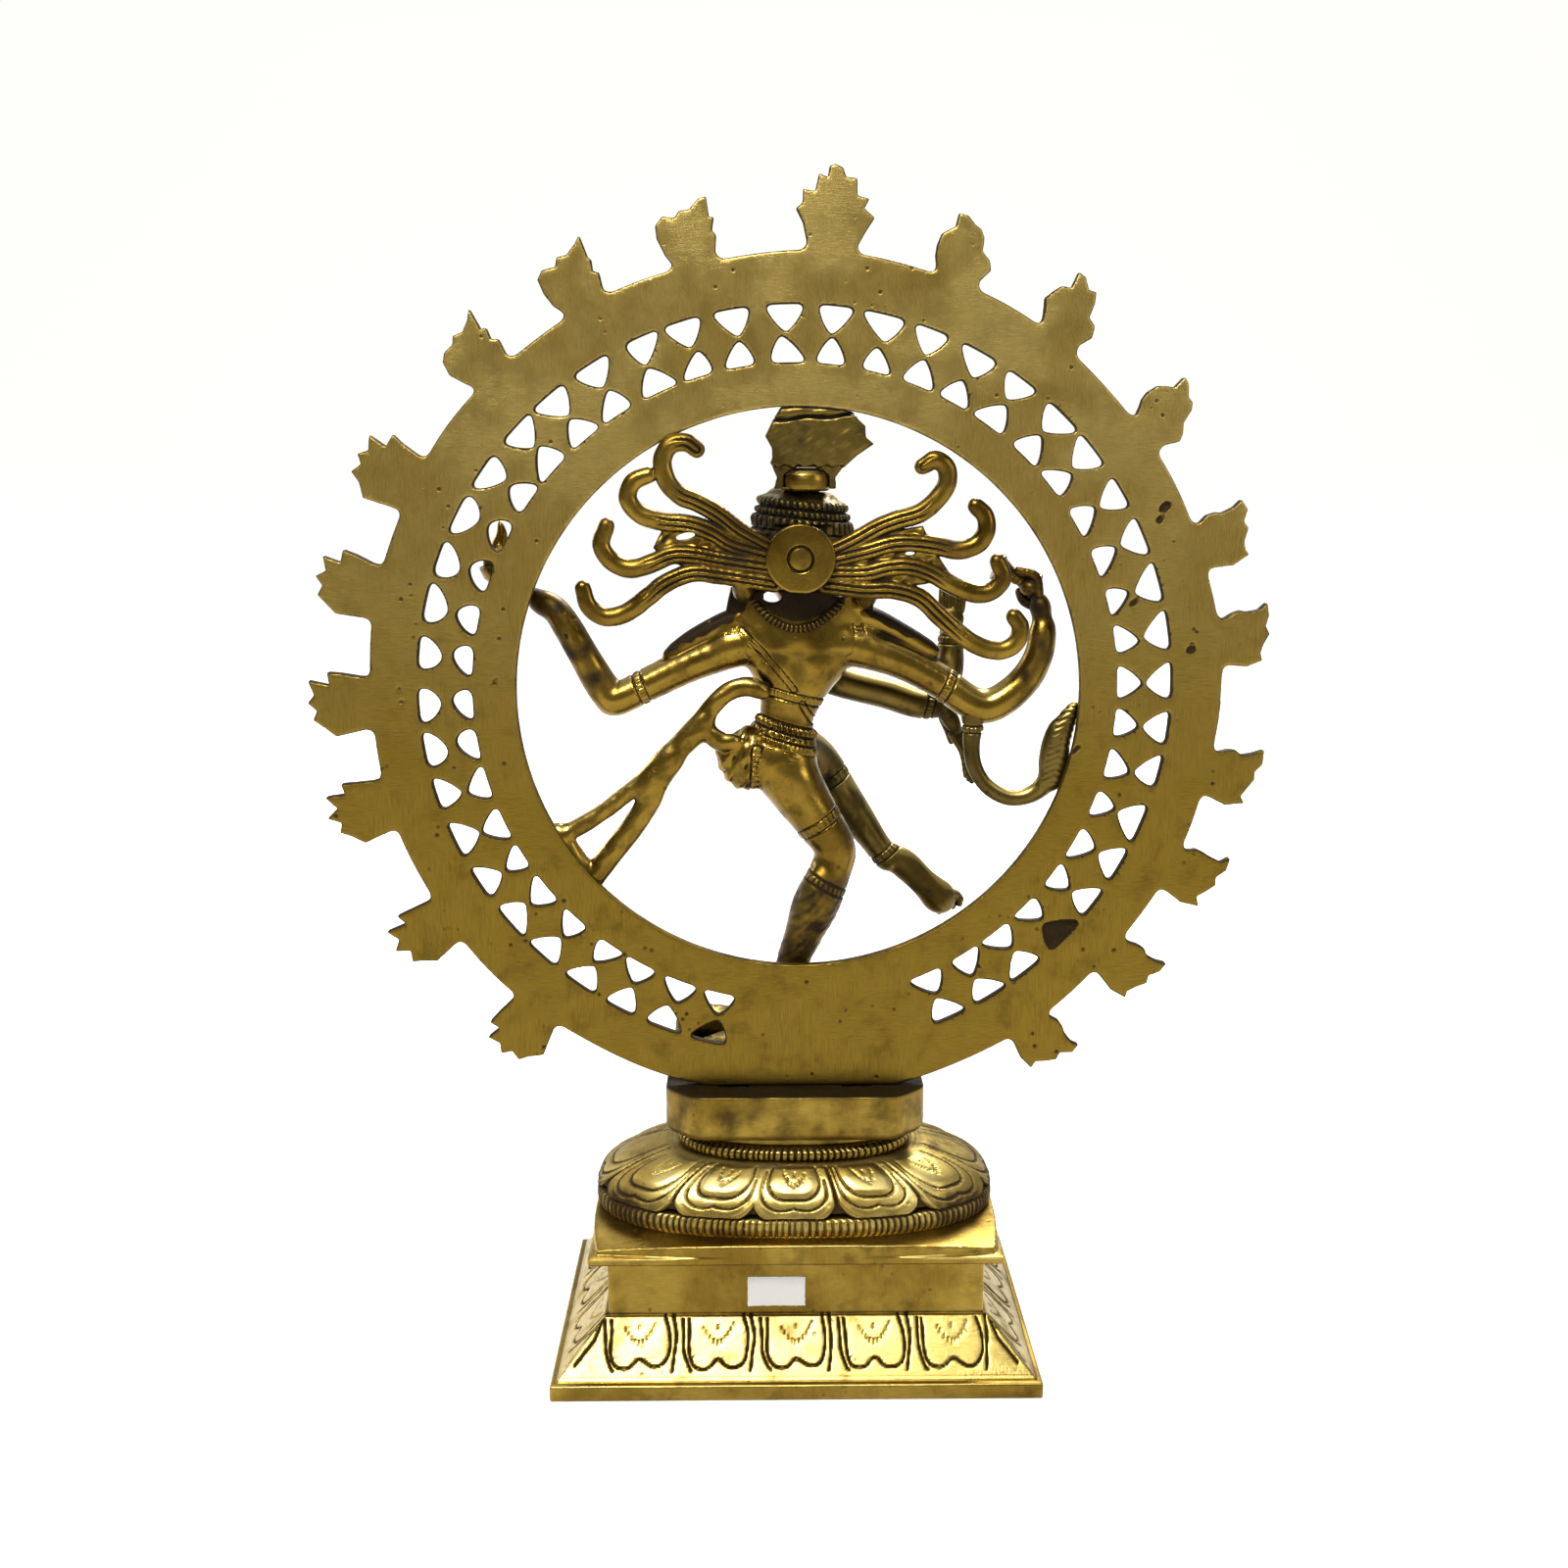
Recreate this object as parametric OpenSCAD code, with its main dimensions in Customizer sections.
// Dancing figure in a ring of flames, cast in brass, on a hollow stepped base.
// Millimetres. The origin is the centre of the base's underside, +Z is up,
// the figure faces -Y and its left side is +X.

/* [Overall] */
// Height from the table to the tip of the top flame
total_h = 450; // [449:0.5:451]

/* [Pedestal] */
// Width of the plinth along X
plinth_w = 186; // [170:1:200]
// Depth of the plinth along Y
plinth_d = 120; // [110:1:130]
// Height of the plinth slab
plinth_h = 6.4; // [5:0.1:8]
// Height of the sloped petal skirt
skirt_h = 17.6; // [12:0.1:20]
// Width of the recessed wall along X
wall_w = 144; // [136:1:150]
// Depth of the recessed wall along Y
wall_d = 82; // [76:1:90]
// Height of the recessed wall
wall_h = 23.4; // [20:0.2:30]
// Width of the top slab along X
slab_w = 158; // [150:1:164]
// Depth of the top slab along Y
slab_d = 95; // [88:1:100]
// Height of the top slab
slab_h = 8.2; // [5:0.1:9]
// Thickness of the casting's walls
wall_t = 4; // [3:0.5:5]

/* [Lotus] */
// Width of the lotus rim along X
lotus_w = 158; // [150:1:160]
// Depth of the lotus rim along Y
lotus_d = 84; // [78:1:90]
// Height of the lotus from the slab to the collar
lotus_h = 24.5; // [23:0.1:30]
// Height of the ribbed rim at the foot of the lotus
rim_h = 7.6; // [5:0.2:8]
// Width of the ribbed collar along X
collar_w = 93; // [88:1:98]
// Depth of the ribbed collar along Y
collar_d = 55; // [50:1:60]
// Height of the ribbed collar
collar_h = 8.9; // [7:0.1:10]
// Width of the seat block along X
block_w = 101; // [96:1:108]
// Width of the block's flat back and front along X
block_flat_w = 78; // [70:1:84]
// Depth of the seat block along Y
block_d = 60; // [56:1:64]
// Height of the seat block
block_h = 19; // [16:0.5:22]

/* [Flame ring] */
// Outer radius of the ring plate
ring_r = 157.4; // [150:0.2:165]
// Radius of the ring's opening
ring_hole_r = 104.2; // [98:0.2:108]
// Thickness of the ring plate
ring_t = 5; // [4:0.5:6]
// Y of the ring's back face
ring_back_y = 18; // [16:0.5:20]
// Inner radius of the lattice band
lattice_r1 = 119.4; // [116:0.2:122]
// Radius where the two rows of lattice holes almost meet
lattice_rm = 129.4; // [127:0.2:132]
// Outer radius of the lattice band
lattice_r2 = 139.3; // [136:0.2:142]
// Number of lattice pitches in a full turn
lattice_n = 48; // [44:1:52]
// Turn of the top flame towards -X, in degrees
top_tilt = 4.5; // [0:0.5:8]
// Length of a flame beyond the ring's edge
flame_len = 22.9; // [20:0.1:25]
// Scale of the top flame against the others
top_flame_scale = 1.3; // [1:0.05:1.4]

/* [Figure] */
// Thickness of the flat hair fans
hair_t = 4; // [3:0.5:5]
// Width of one hair lock
lock_w = 6.4; // [5:0.2:8]
// Radius of the disc behind the head
disc_r = 12.7; // [11:0.1:14]
// Thickness of the disc behind the head
disc_t = 3.5; // [3:0.5:5]
// Radius of the disc's rivet
rivet_r = 4.2; // [3:0.1:5]

/* [Fixings] */
// Radius of the fixing studs
stud_r = 3; // [2.5:0.1:4]
// X of the fixing studs on each side of the centre
stud_x = 27; // [22:1:32]
// Y of the fixing studs
stud_y = -6; // [-10:1:0]
// Gap between a stud or tenon and its hole
fit_gap = 0.1; // [0.05:0.01:0.2]

/* [Label] */
// Width of the blank paper label
label_w = 22; // [18:1:26]
// Height of the blank paper label
label_h = 12; // [10:1:14]
// Thickness of the paper
label_t = 0.3; // [0.2:0.1:0.5]

/* [Hidden] */

brass = "goldenrod";
dark_brass = "darkgoldenrod";
old_brass = "peru";

// Levels of the base, from the floor up.
groove_h = 1.1;
skirt_z = plinth_h + groove_h;
wall_z = skirt_z + skirt_h;
slab_z = wall_z + wall_h;
lotus_z = slab_z + slab_h;
collar_z = lotus_z + lotus_h;
block_z = collar_z + collar_h;
seat_z = block_z + block_h;
ring_z = total_h - ring_r - flame_len * top_flame_scale;
ring_front_y = ring_back_y - ring_t;

// Faceting of free-form pieces.
ball_fn = 14;
oval_fn = 48;
round_fn = 48;
oval_power = 2.5;
eps = 0.01;

// Depths of the flat pieces behind the head.
hair_front_y = 16.5;
hair_back_y = hair_front_y + hair_t;
disc_centre = [-1.5, 312.5];
disc_back_y = hair_back_y + disc_t;

// One superellipse section, half width a and half depth b, at height z.
function oval_points(a, b, z) = [for (i = [0 : oval_fn - 1])
    let (t = 360 * i / oval_fn, c = cos(t), s = sin(t))
    [a * sign(c) * pow(abs(c), 2 / oval_power), b * sign(s) * pow(abs(s), 2 / oval_power), z]];

// Solid skinned over oval sections; each section is [half width, half depth, z].
module oval_loft(sections) {
    rings = len(sections);
    points = [for (s = sections) each oval_points(s[0], s[1], s[2])];
    sides = [for (k = [0 : rings - 2], i = [0 : oval_fn - 1])
        let (a = k * oval_fn + i, b = k * oval_fn + (i + 1) % oval_fn)
        each [[a, a + oval_fn, b], [b, a + oval_fn, b + oval_fn]]];
    bottom = [for (i = [0 : oval_fn - 1]) i];
    top = [for (i = [oval_fn - 1 : -1 : 0]) (rings - 1) * oval_fn + i];
    polyhedron(points = points, faces = concat([bottom], sides, [top]));
}

// Box centred on the axis, w by d, standing from z0 to z1.
module centred_box(w, d, z0, z1) {
    translate([-w / 2, -d / 2, z0]) cube([w, d, z1 - z0]);
}

// Four-sided frustum from w0 by d0 at z0 to w1 by d1 at z1.
module frustum(w0, d0, z0, w1, d1, z1) {
    translate([0, 0, z0])
        linear_extrude(z1 - z0, scale = [w1 / w0, d1 / d0]) square([w0, d0], center = true);
}

// Ball at p[0..2] with radius p[3].
module ball(p) {
    translate([p[0], p[1], p[2]]) sphere(r = p[3], $fn = ball_fn);
}

// Flattened ball at c with half axes r.
module blob(c, r) {
    translate(c) scale(r) sphere(r = 1, $fn = ball_fn + 4);
}

// Smooth limb through a list of balls.
module limb(balls) {
    for (i = [0 : len(balls) - 2]) hull() {
        ball(balls[i]);
        ball(balls[i + 1]);
    }
}

// Stroke of width w through 2D points, with round ends.
module stroke(points, w) {
    for (i = [0 : len(points) - 2]) hull() {
        translate(points[i]) circle(d = w, $fn = 12);
        translate(points[i + 1]) circle(d = w, $fn = 12);
    }
}

// Stands a 2D outline in the XZ plane between two depths.
module standing(y_front, y_back) {
    translate([0, y_back, 0]) rotate([90, 0, 0]) linear_extrude(y_back - y_front) children();
}

// ---------------------------------------------------------------- base

module pedestal() {
    color(brass) difference() {
        union() {
            centred_box(plinth_w, plinth_d, 0, plinth_h);
            centred_box(plinth_w - 10, plinth_d - 10, plinth_h - eps, skirt_z + eps);
            frustum(plinth_w - 6, plinth_d - 6, skirt_z, wall_w + 3, wall_d + 3, wall_z);
            centred_box(wall_w, wall_d, wall_z - eps, slab_z + eps);
            centred_box(slab_w, slab_d, slab_z, lotus_z);
        }
        frustum(plinth_w - 6 - 4 * wall_t, plinth_d - 6 - 4 * wall_t, -eps,
            wall_w - 2 * wall_t, wall_d - 2 * wall_t, wall_z);
        centred_box(wall_w - 2 * wall_t, wall_d - 2 * wall_t, wall_z - 2 * eps, slab_z);
        centred_box(core_w, core_d, slab_z - eps, lotus_z + eps);
    }
}

// Window in the slab that joins the two hollows of the base.
core_w = 100;
core_d = 46;

// Outer oval sections of the lotus dome, from the slab up.
lotus_dome = [
    [lotus_w / 2 - 1.5, lotus_d / 2 - 1.5, lotus_z],
    [lotus_w / 2, lotus_d / 2, lotus_z + 1.5],
    [lotus_w / 2, lotus_d / 2, lotus_z + rim_h - 1],
    [lotus_w / 2 - 2, lotus_d / 2 - 2, lotus_z + rim_h],
    [lotus_w / 2 - 1.5, lotus_d / 2 - 1.5, lotus_z + rim_h + 3.5],
    [lotus_w / 2 - 4.5, lotus_d / 2 - 2.5, lotus_z + rim_h + 8],
    [lotus_w / 2 - 11, lotus_d / 2 - 5.5, lotus_z + rim_h + 12.5],
    [lotus_w / 2 - 21, lotus_d / 2 - 9.5, lotus_z + rim_h + 15.3],
    [collar_w / 2 + 2, collar_d / 2 + 1, collar_z]
];

// Sections of the hollow inside the dome.
lotus_core = [
    [core_w / 2 + 12, core_d / 2 + 8, lotus_z - eps],
    [core_w / 2 + 10, core_d / 2 + 7, lotus_z + rim_h + 6],
    [core_w / 2, core_d / 2, collar_z - wall_t]
];

// Clearance holes for the studs between two heights.
module stud_holes(z0, z1) {
    for (side = [-1, 1]) translate([side * stud_x, stud_y, z0])
        cylinder(r = stud_r + fit_gap, h = z1 - z0, $fn = round_fn);
}

module lotus_seat() {
    color(brass) difference() {
        oval_loft(lotus_dome);
        oval_loft(lotus_core);
        stud_holes(collar_z - 2 * wall_t, collar_z + 1);
    }
}

module neck_collar() {
    bulge = 1.6;
    color(dark_brass) difference() {
        oval_loft([
            [collar_w / 2 - bulge, collar_d / 2 - bulge, collar_z],
            [collar_w / 2, collar_d / 2, collar_z + 2],
            [collar_w / 2, collar_d / 2, collar_z + 5],
            [collar_w / 2 - bulge, collar_d / 2 - bulge, block_z - 1.6],
            [collar_w / 2 - 3, collar_d / 2 - 3, block_z]
        ]);
        stud_holes(collar_z - 1, block_z + 1);
    }
}

// Tenons of the ring, one on each side.
tenon_x = 24;
tenon_w = 12;
tenon_depth = 9;

module seat_block() {
    cut = (block_w - block_flat_w) / 2;
    end_y = block_d / 2 - cut;
    color(brass) difference() {
        translate([0, 0, block_z]) linear_extrude(block_h) polygon([
            [block_w / 2, end_y], [block_flat_w / 2, block_d / 2],
            [-block_flat_w / 2, block_d / 2], [-block_w / 2, end_y],
            [-block_w / 2, -end_y], [-block_flat_w / 2, -block_d / 2],
            [block_flat_w / 2, -block_d / 2], [block_w / 2, -end_y]
        ]);
        stud_holes(block_z - eps, block_z + block_h - 6);
        for (side = [-1, 1])
            translate([side * tenon_x - tenon_w / 2 - fit_gap, ring_front_y - fit_gap, seat_z - tenon_depth])
                cube([tenon_w + 2 * fit_gap, ring_t + 2 * fit_gap, tenon_depth + 1]);
    }
}

module paper_label() {
    label_x = 7.5;
    label_z = 34.8;
    color("white") translate([label_x - label_w / 2, wall_d / 2, label_z - label_h / 2])
        cube([label_w, label_t, label_h]);
}

// ---------------------------------------------------------------- fixings

washer_t = 1.6;
nut_t = 5;
nut_flats = 10;

module fixing_studs() {
    stud_foot = collar_z - wall_t - washer_t - nut_t - 3;
    color("silver") for (side = [-1, 1]) translate([side * stud_x, stud_y, stud_foot])
        cylinder(r = stud_r, h = block_z + block_h - 7 - stud_foot, $fn = round_fn);
}

module fixing_washers() {
    color("silver") for (side = [-1, 1])
        translate([side * stud_x, stud_y, collar_z - wall_t - washer_t]) difference() {
            cylinder(r = 2 * stud_r, h = washer_t, $fn = round_fn);
            translate([0, 0, -1]) cylinder(r = stud_r + fit_gap, h = washer_t + 2, $fn = round_fn);
        }
}

module fixing_nuts() {
    color("silver") for (side = [-1, 1])
        translate([side * stud_x, stud_y, collar_z - wall_t - washer_t - nut_t]) difference() {
            cylinder(d = nut_flats / cos(30), h = nut_t, $fn = 6);
            translate([0, 0, -1]) cylinder(r = stud_r + fit_gap, h = nut_t + 2, $fn = round_fn);
        }
}

// ---------------------------------------------------------------- ring

// Half outline of one jagged flame: x across, y outwards from the ring's edge.
flame_half = [[8, -3], [9.5, 7], [13, 12], [9, 13], [10.5, 18], [5.5, 17.5], [4, 21]];

// Turns of the small flames from the top of the ring, positive towards -X.
flame_turns = [21, 36, 53, 70, 83, 101, 115, 130, 145, -13, -28, -43, -61, -76, -91, -105, -123, -141];

module flame() {
    polygon(concat(
        flame_half, [[0, flame_len]],
        [for (i = [len(flame_half) - 1 : -1 : 0]) [-flame_half[i][0], flame_half[i][1]]]));
}

// Lattice hole between radii ra (wide side) and rb (pointed side), half width hw.
module lattice_hole(ra, rb, hw) {
    polygon([[-hw, ra], [0, rb], [hw, ra]]);
}

module flame_ring() {
    lattice_step = 360 / lattice_n;
    solid_from = 157;
    solid_to = 194;
    hole_hw = 6.7;
    color(brass) union() {
        standing(ring_front_y, ring_back_y) translate([0, ring_z]) difference() {
            union() {
                circle(r = ring_r, $fn = 180);
                for (turn = flame_turns) rotate(turn) translate([0, ring_r]) flame();
                rotate(top_tilt) translate([0, ring_r]) scale(top_flame_scale) flame();
            }
            circle(r = ring_hole_r, $fn = 180);
            for (i = [0 : lattice_n - 1])
                if (i * lattice_step < solid_from || i * lattice_step > solid_to) {
                    rotate(i * lattice_step)
                        lattice_hole(lattice_r2, lattice_rm + 0.8, hole_hw);
                    rotate(i * lattice_step)
                        lattice_hole(lattice_r1, lattice_rm - 0.8, hole_hw * lattice_r1 / lattice_r2);
                }
            translate([-ring_r, seat_z - ring_z - ring_r]) square([2 * ring_r, ring_r]);
        }
        for (side = [-1, 1])
            translate([side * tenon_x - tenon_w / 2, ring_front_y, seat_z - tenon_depth + 1])
                cube([tenon_w, ring_t, tenon_depth]);
    }
}

// ---------------------------------------------------------------- figure

// The dwarf lies on the block in front of the ring, head towards -X.

module dwarf_body() {
    hull() {
        blob([-20, -9, seat_z + 11], [15, 13, 11]);
        blob([14, -9, seat_z + 10], [14, 14, 10]);
    }
    blob([-38, -11, seat_z + 14], [9, 9, 11]);
    limb([[-24, -19, seat_z + 16, 5], [-38, -24, seat_z + 5, 4], [-46, -20, seat_z + 10, 3.5]]);
    limb([[22, -16, seat_z + 11, 7], [42, -17, seat_z + 14, 6], [38, -18, seat_z + 4, 4]]);
    limb([[20, -2, seat_z + 9, 7], [38, 0, seat_z + 6, 5], [46, 0, seat_z + 4, 4]]);
}

module dwarf() {
    color(old_brass) intersection() {
        dwarf_body();
        translate([-60, -40, seat_z]) cube([120, 40 + ring_front_y, 60]);
    }
}

// Standing leg: hip, thigh, bent knee, calf, ankle, foot.
standing_balls = [
    [6, 3, 234, 12.5], [1, 4, 222, 11.5], [-8, 4, 209, 8.8], [-14, 2, 199, 7.4],
    [-14, 3, 190, 7.6], [-9, 4, 179, 7.4], [-3, 3, 165, 5.2], [2, 2, 148, 4.6], [3, 0, 138, 5.5],
    [3, -13, 134, 4.4]
];

module standing_shape() {
    limb(standing_balls);
}

// The raised leg: thigh across the front of the hips, shin out to the side.
raised_balls = [
    [12, -4, 238, 10], [2, -22, 236, 9.5], [-9, -32, 228, 8.2], [-19, -32, 214, 6.6],
    [-30, -31, 198, 5.2], [-38, -30, 187, 4.4]
];
raised_foot = [[-38, -30, 188, 5], [-46, -31, 183, 5.6], [-53, -32, 177, 6], [-61, -33, 170, 6]];

module raised_shape() {
    limb(raised_balls);
    limb(raised_foot);
}

module torso_shape() {
    chest = [[-1, 3, 270], [17, 11, 11]];
    waist = [[3, 3, 254], [10.8, 8.5, 6]];
    hips = [[6, 2, 241], [14.5, 11, 9]];
    shoulders = [[23, 5, 280, 7], [-24, 5, 280, 7]];
    hull() {
        ball(shoulders[0]);
        ball(shoulders[1]);
        blob(chest[0], chest[1]);
    }
    hull() {
        blob(chest[0], chest[1]);
        blob(waist[0], waist[1]);
    }
    hull() {
        blob(waist[0], waist[1]);
        blob(hips[0], hips[1]);
    }
    limb([[-1, 4, 284, 7], [-1, 3, 292, 6]]);
}

module torso() {
    color(brass) torso_shape();
}

module standing_leg() {
    color(brass) difference() {
        standing_shape();
        torso_shape();
        dwarf_body();
    }
}

module raised_leg() {
    color(old_brass) difference() {
        raised_shape();
        torso_shape();
        standing_shape();
    }
}

module hip_shape() {
    hull() {
        blob([19, 6, 240], [8, 8, 11]);
        blob([21, 7, 233], [7, 7, 8]);
    }
}

module hip_cloth() {
    color(brass) difference() {
        hip_shape();
        torso_shape();
        standing_shape();
        raised_shape();
    }
}

module necklace() {
    bead_r = 1.6;
    collar_rx = 11.5;
    color(dark_brass) difference() {
        translate([-1, 3, 287]) rotate([-14, 0, 0]) rotate_extrude($fn = 36)
            translate([collar_rx, 0]) circle(r = bead_r, $fn = 8);
        torso_shape();
        head_shape();
        rear_left_shape();
        rear_right_shape();
        front_left_shape();
        front_right_shape();
    }
}

module head_shape() {
    hull() {
        blob([-1.5, 2, 309], [13.5, 13.5, 14]);
        blob([-1.5, -3, 298], [8.5, 8, 7]);
    }
    for (side = [-1, 1]) blob([-1.5 + side * 13.5, 2, 304], [2.6, 4, 7]);
    hull() {
        blob([-1.5, -11.5, 308], [1.4, 2, 1.4]);
        blob([-1.5, -13.6, 302.5], [2, 2.2, 1.6]);
    }
}

module head() {
    color(brass) difference() {
        head_shape();
        torso_shape();
        cap_shape();
        standing(hair_front_y, hair_back_y) translate(disc_centre) circle(r = 30, $fn = 24);
        translate([disc_centre[0], rivet_y, disc_centre[1]]) rotate([-90, 0, 0])
            cylinder(r = rivet_shank_r, h = 20, $fn = round_fn);
    }
}

// Tiered cap: stacked rounded bands.
cap_z = 317;
cap_tiers = [[18.8, 0, 9.4], [17.6, 9.4, 3.4], [16.4, 12.8, 3], [12.4, 15.8, 3]];
cap_h = cap_tiers[3][1] + cap_tiers[3][2];

module cap_shape() {
    for (t = cap_tiers) translate([-1.5, 1, cap_z + t[1]])
        cylinder(r = t[0], h = t[2] + eps, $fn = 36);
}

module crown_cap() {
    color(old_brass) difference() {
        cap_shape();
        standing(hair_front_y, hair_back_y) translate(disc_centre) circle(r = 60, $fn = 24);
    }
}

knob_z = cap_z + cap_h + eps;
knob_h = 9;

module crown_knob() {
    color(brass) translate([-3.8, 9, knob_z]) rotate_extrude($fn = 36) polygon([
        [0, 0], [8.2, 0], [9.2, 2.5], [9.4, 4.5], [8.6, 6.8], [6.5, knob_h], [0, knob_h]]);
}

// Jagged feather fan between the knob and the ring's inner rim.
fan_outline = [
    [6, 338], [8, 350], [12, 353], [9, 358], [6, 363], [4.5, 368], [-22, 368], [-23, 363],
    [-25, 358], [-28, 353], [-20, 348], [-13, 338]
];

module crown_fan() {
    color(old_brass) difference() {
        standing(ring_front_y - 1, ring_back_y - 1) polygon(fan_outline);
        crown_knob();
        standing(ring_front_y - 2, ring_back_y + 2) translate([0, ring_z]) difference() {
            circle(r = ring_r, $fn = 180);
            circle(r = ring_hole_r, $fn = 180);
        }
    }
}

// Centre lines of the curled locks, from the disc outwards, in X and Z.
left_locks = [
    [[10, 317], [20, 322], [28, 329], [35, 333], [42, 336], [47, 341], [50, 347], [47, 353], [41, 355], [36, 352]],
    [[10, 314], [23, 317], [30, 322], [38, 325], [50, 326], [57, 328], [62, 334], [60, 340], [54, 342]],
    [[10, 309], [28, 312], [38, 314], [46, 315], [53, 311], [60, 308], [66, 310], [72, 317], [69, 324]],
    [[8, 302], [28, 306], [38, 307], [48, 304], [56, 298], [62, 292], [70, 290], [77, 295], [78, 302]]
];
right_locks = [
    [[-12, 316], [-21, 318], [-29, 323], [-35, 326], [-45, 328], [-51, 332], [-56, 338], [-55, 345],
        [-50, 348], [-45, 344]],
    [[-12, 312], [-27, 315], [-35, 318], [-43, 318], [-51, 317], [-59, 315], [-66, 317], [-70, 322],
        [-69, 328], [-65, 331]],
    [[-12, 307], [-25, 307], [-33, 309], [-41, 310], [-49, 308], [-57, 303], [-65, 299], [-71, 299],
        [-76, 304], [-74, 311]],
    [[-12, 302], [-25, 300], [-35, 301], [-45, 298], [-52, 292], [-60, 285], [-68, 280], [-76, 278],
        [-82, 281], [-83, 287], [-80, 291]]
];

// Webs that join neighbouring locks near their roots.
left_web = [[6, 300], [34, 307], [46, 312], [44, 322], [24, 322], [8, 318]];
right_web = [[-10, 300], [-34, 301], [-50, 303], [-52, 316], [-44, 324], [-28, 321], [-10, 318]];

module hair_fan(locks, web) {
    difference() {
        standing(hair_front_y, hair_back_y) {
            for (lock = locks) stroke(lock, lock_w);
            polygon(web);
        }
        translate([disc_centre[0], 0, disc_centre[1]]) rotate([-90, 0, 0])
            cylinder(r = rivet_shank_r, h = 40, $fn = round_fn);
    }
}

module hair_fan_left() {
    color(brass) intersection() {
        hair_fan(left_locks, left_web);
        translate([disc_centre[0], 0, 0]) cube([200, 60, total_h]);
    }
}

module hair_fan_right() {
    color(brass) intersection() {
        hair_fan(right_locks, right_web);
        translate([disc_centre[0] - 200, 0, 0]) cube([200, 60, total_h]);
    }
}

// The disc's rivet starts inside the head at this Y.
rivet_y = 9;
rivet_shank_r = 2.5;
rivet_head_h = 0.8;

module nape_disc() {
    flat_z = 299.5;
    color(dark_brass) difference() {
        standing(hair_back_y, disc_back_y) intersection() {
            translate(disc_centre) circle(r = disc_r, $fn = 64);
            translate([disc_centre[0] - disc_r, flat_z]) square([2 * disc_r, 3 * disc_r]);
        }
        translate([disc_centre[0], 0, disc_centre[1]]) rotate([-90, 0, 0])
            cylinder(r = rivet_shank_r, h = 40, $fn = round_fn);
    }
}

module disc_rivet() {
    color(brass) translate([disc_centre[0], rivet_y, disc_centre[1]]) rotate([-90, 0, 0]) {
        cylinder(r = rivet_shank_r, h = disc_back_y - rivet_y + rivet_head_h, $fn = round_fn);
        translate([0, 0, disc_back_y - rivet_y]) cylinder(r = rivet_r, h = rivet_head_h, $fn = round_fn);
    }
}

module rear_left_shape() {
    limb([[21, 6, 279, 6.6], [38, 5, 272, 6.4], [54, 5, 264, 5.8], [68, 5, 258, 5.4],
        [76, 5, 270, 5], [84, 5, 284, 4.2], [90, 4, 293, 3], [97, 1, 297, 3.2],
        [106, -1, 299, 4.2]]);
}

module rear_right_shape() {
    limb([[-22, 6, 279, 6.6], [-40, 6, 273, 6.4], [-56, 6, 263, 5.8], [-70, 7, 256, 5.6],
        [-82, 7, 261, 5], [-90, 6, 271, 4.2], [-93, 5, 281, 3.2], [-92, 4, 290, 3.6],
        [-88, 3, 300, 3.2], [-84, 2, 306, 2.6]]);
}

module front_left_shape() {
    limb([[21, -2, 279, 6.4], [10, -16, 272, 5.8], [-8, -21, 266, 5.6], [-22, -23, 260, 5.4],
        [-36, -25, 256, 5.2], [-48, -26, 252, 5], [-59, -27, 250, 4.4], [-66, -28, 240, 3.6],
        [-71, -28, 223, 2.4]]);
}

module front_right_shape() {
    limb([[-22, -2, 280, 6.2], [-38, -8, 273, 5.8], [-52, -14, 266, 5.4], [-60, -18, 264, 5],
        [-61, -22, 276, 4.4], [-61, -23, 287, 3.8]]);
    hull() {
        blob([-61, -24, 291], [5.2, 2.6, 5]);
        blob([-62, -25, 304], [5, 1.8, 4]);
    }
}

module rear_left_arm() {
    color(brass) difference() {
        rear_left_shape();
        torso_shape();
        bowl_shape();
    }
}

module rear_right_arm() {
    color(brass) difference() {
        rear_right_shape();
        torso_shape();
        drum_shape();
    }
}

module front_left_arm() {
    color(old_brass) difference() {
        front_left_shape();
        torso_shape();
        rear_left_shape();
        raised_shape();
    }
}

module front_right_arm() {
    color(old_brass) difference() {
        front_right_shape();
        torso_shape();
        rear_right_shape();
    }
}

// Hourglass drum held in the fingers.
drum_r = 5;
drum_len = 17;
drum_at = [-83, 1, 304];

module drum_shape() {
    translate(drum_at) rotate([0, 62, 0]) translate([0, 0, -drum_len / 2])
        rotate_extrude($fn = 32) polygon([
            [0, 0], [drum_r, 0], [drum_r, 2], [drum_r / 2, drum_len / 2],
            [drum_r, drum_len - 2], [drum_r, drum_len], [0, drum_len]]);
}

module drum() {
    color(brass) drum_shape();
}

bowl_at = [110, -2, 301];

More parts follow.
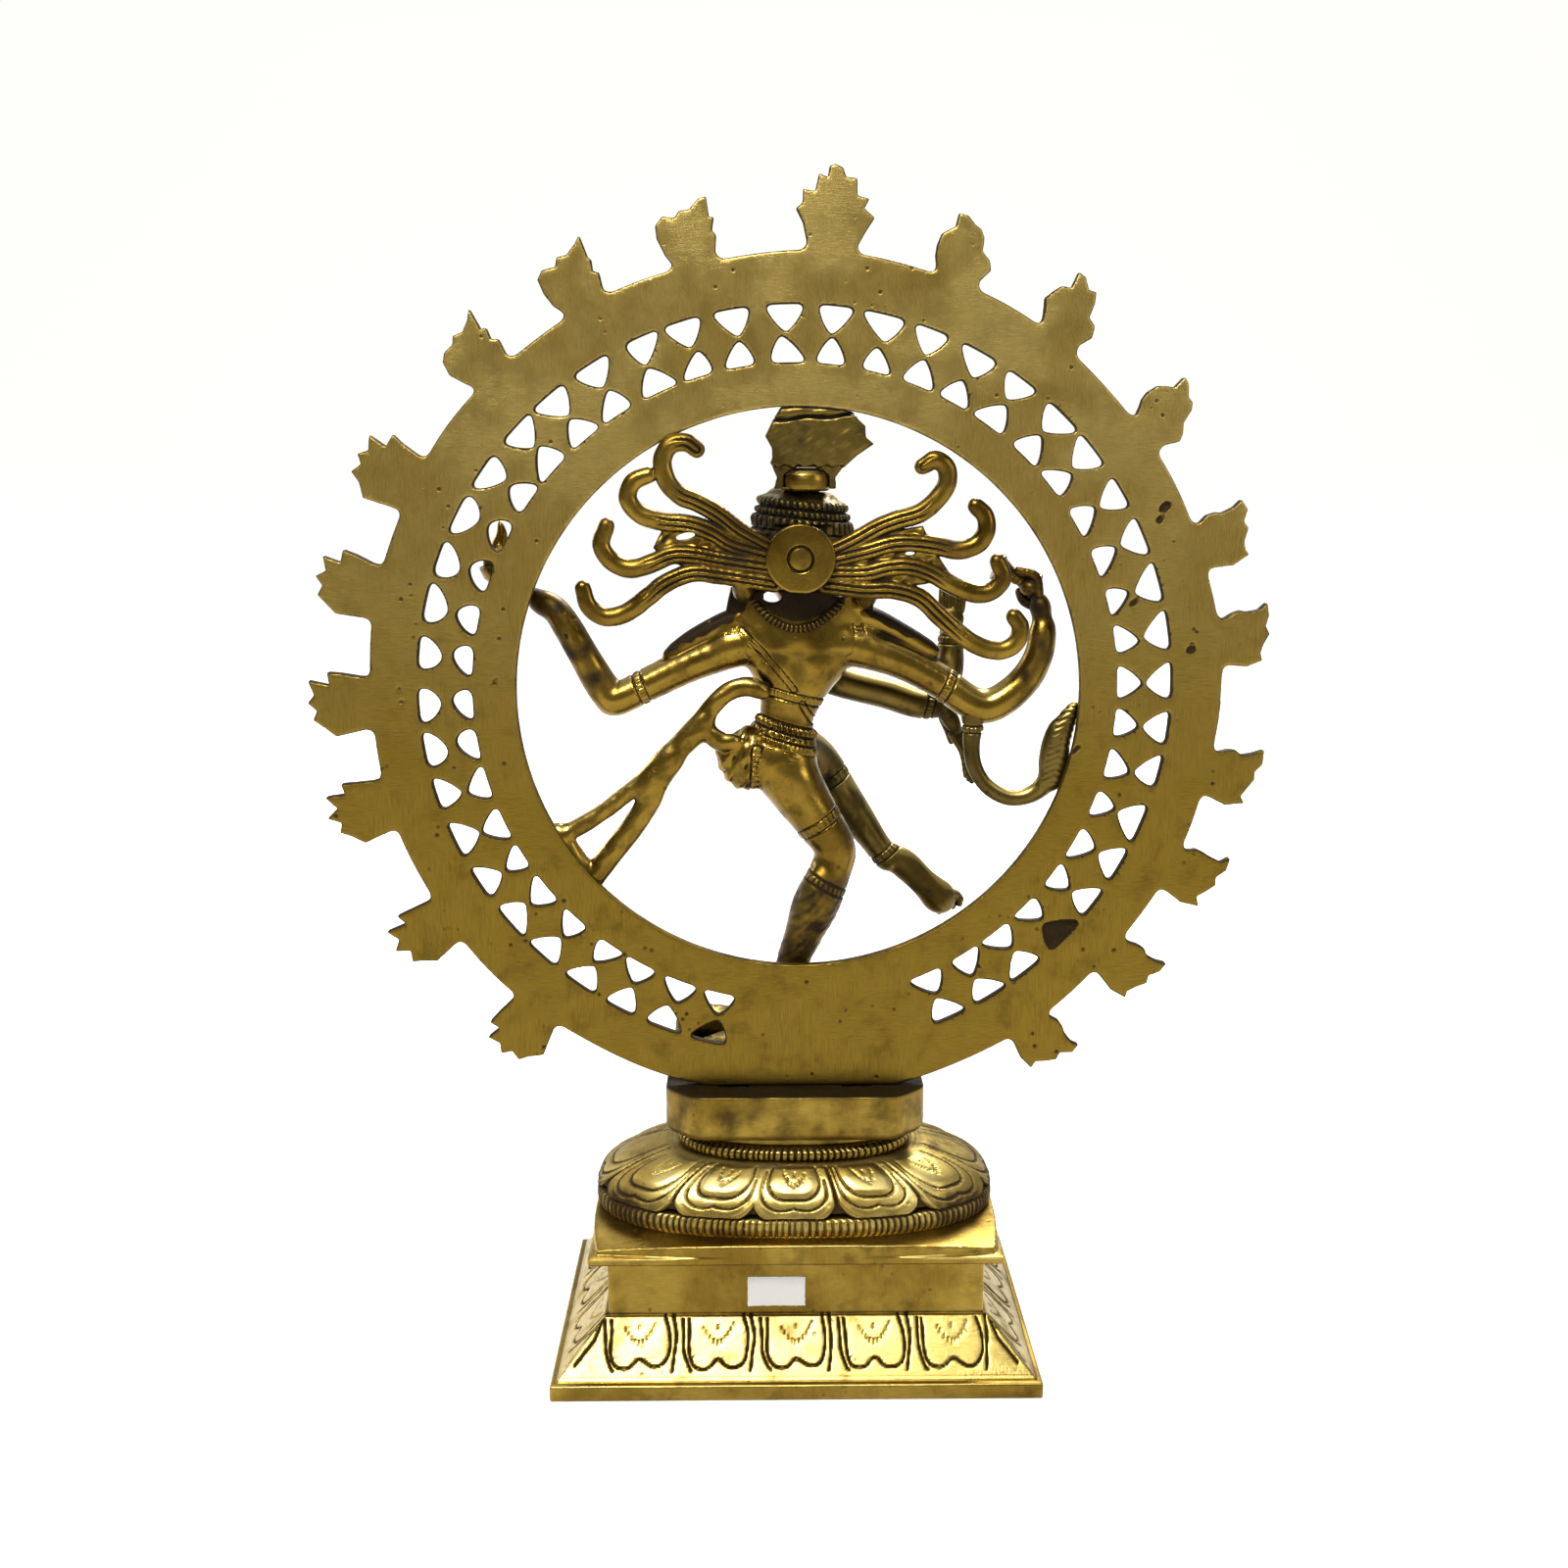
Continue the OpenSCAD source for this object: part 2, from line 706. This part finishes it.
module bowl_shape() {
    translate(bowl_at) rotate_extrude($fn = 32)
        polygon([[0, 0], [4, 0.5], [7, 3], [8, 6], [7, 7], [0, 7]]);
    hull() {
        translate([bowl_at[0], bowl_at[1], bowl_at[2] + 8]) sphere(r = 5.5, $fn = 12);
        translate([bowl_at[0], bowl_at[1], bowl_at[2] + 22]) sphere(r = 0.8, $fn = 12);
    }
}

module flame_bowl() {
    color(brass) bowl_shape();
}

// Part of the ring plate that the sash and serpent butt against.
module ring_plate_cut() {
    standing(ring_front_y - 5, ring_back_y + 5) translate([0, ring_z]) difference() {
        circle(r = ring_r, $fn = 180);
        circle(r = ring_hole_r, $fn = 180);
    }
}

module flying_sash() {
    sash_t = 4.5;
    back_y = 15;
    color(brass) difference() {
        standing(back_y - sash_t, back_y) {
            stroke([[12, 263], [20, 264], [27, 260], [33, 253], [35, 249], [27, 245], [22, 244]], 5);
            stroke([[35, 250], [43, 242], [50, 234]], 7.5);
            stroke([[50, 234], [64, 224], [74, 215.5], [83, 210], [90, 206]], 5.2);
            stroke([[50, 234], [54.5, 222], [60, 213], [66.5, 204.5], [73, 196.5], [77, 191]], 7.4);
            stroke([[88, 208], [84, 200], [78, 192]], 7);
        }
        ring_plate_cut();
        torso_shape();
        hip_shape();
        rear_left_shape();
    }
}

module serpent() {
    back_y = 13;
    color(old_brass) difference() {
        union() {
            limb([[-68, back_y - 4, 252, 3.6], [-67, back_y - 3, 241, 2.8], [-69, back_y - 3, 232, 2.6],
                [-74, back_y - 3, 225, 2.6], [-82, back_y - 3, 221, 2.6], [-90, back_y - 3, 222, 2.8],
                [-96, back_y - 3, 228, 3.4]]);
            limb([[-96, back_y - 3, 228, 4], [-98, back_y - 2, 240, 4.6], [-103, back_y - 1, 254, 2.4]]);
        }
        ring_plate_cut();
        rear_right_shape();
    }
}

pedestal();
lotus_seat();
neck_collar();
seat_block();
paper_label();
fixing_studs();
fixing_washers();
fixing_nuts();
flame_ring();
dwarf();
standing_leg();
raised_leg();
torso();
hip_cloth();
necklace();
head();
crown_cap();
crown_knob();
crown_fan();
hair_fan_left();
hair_fan_right();
nape_disc();
disc_rivet();
rear_left_arm();
rear_right_arm();
front_left_arm();
front_right_arm();
drum();
flame_bowl();
flying_sash();
serpent();
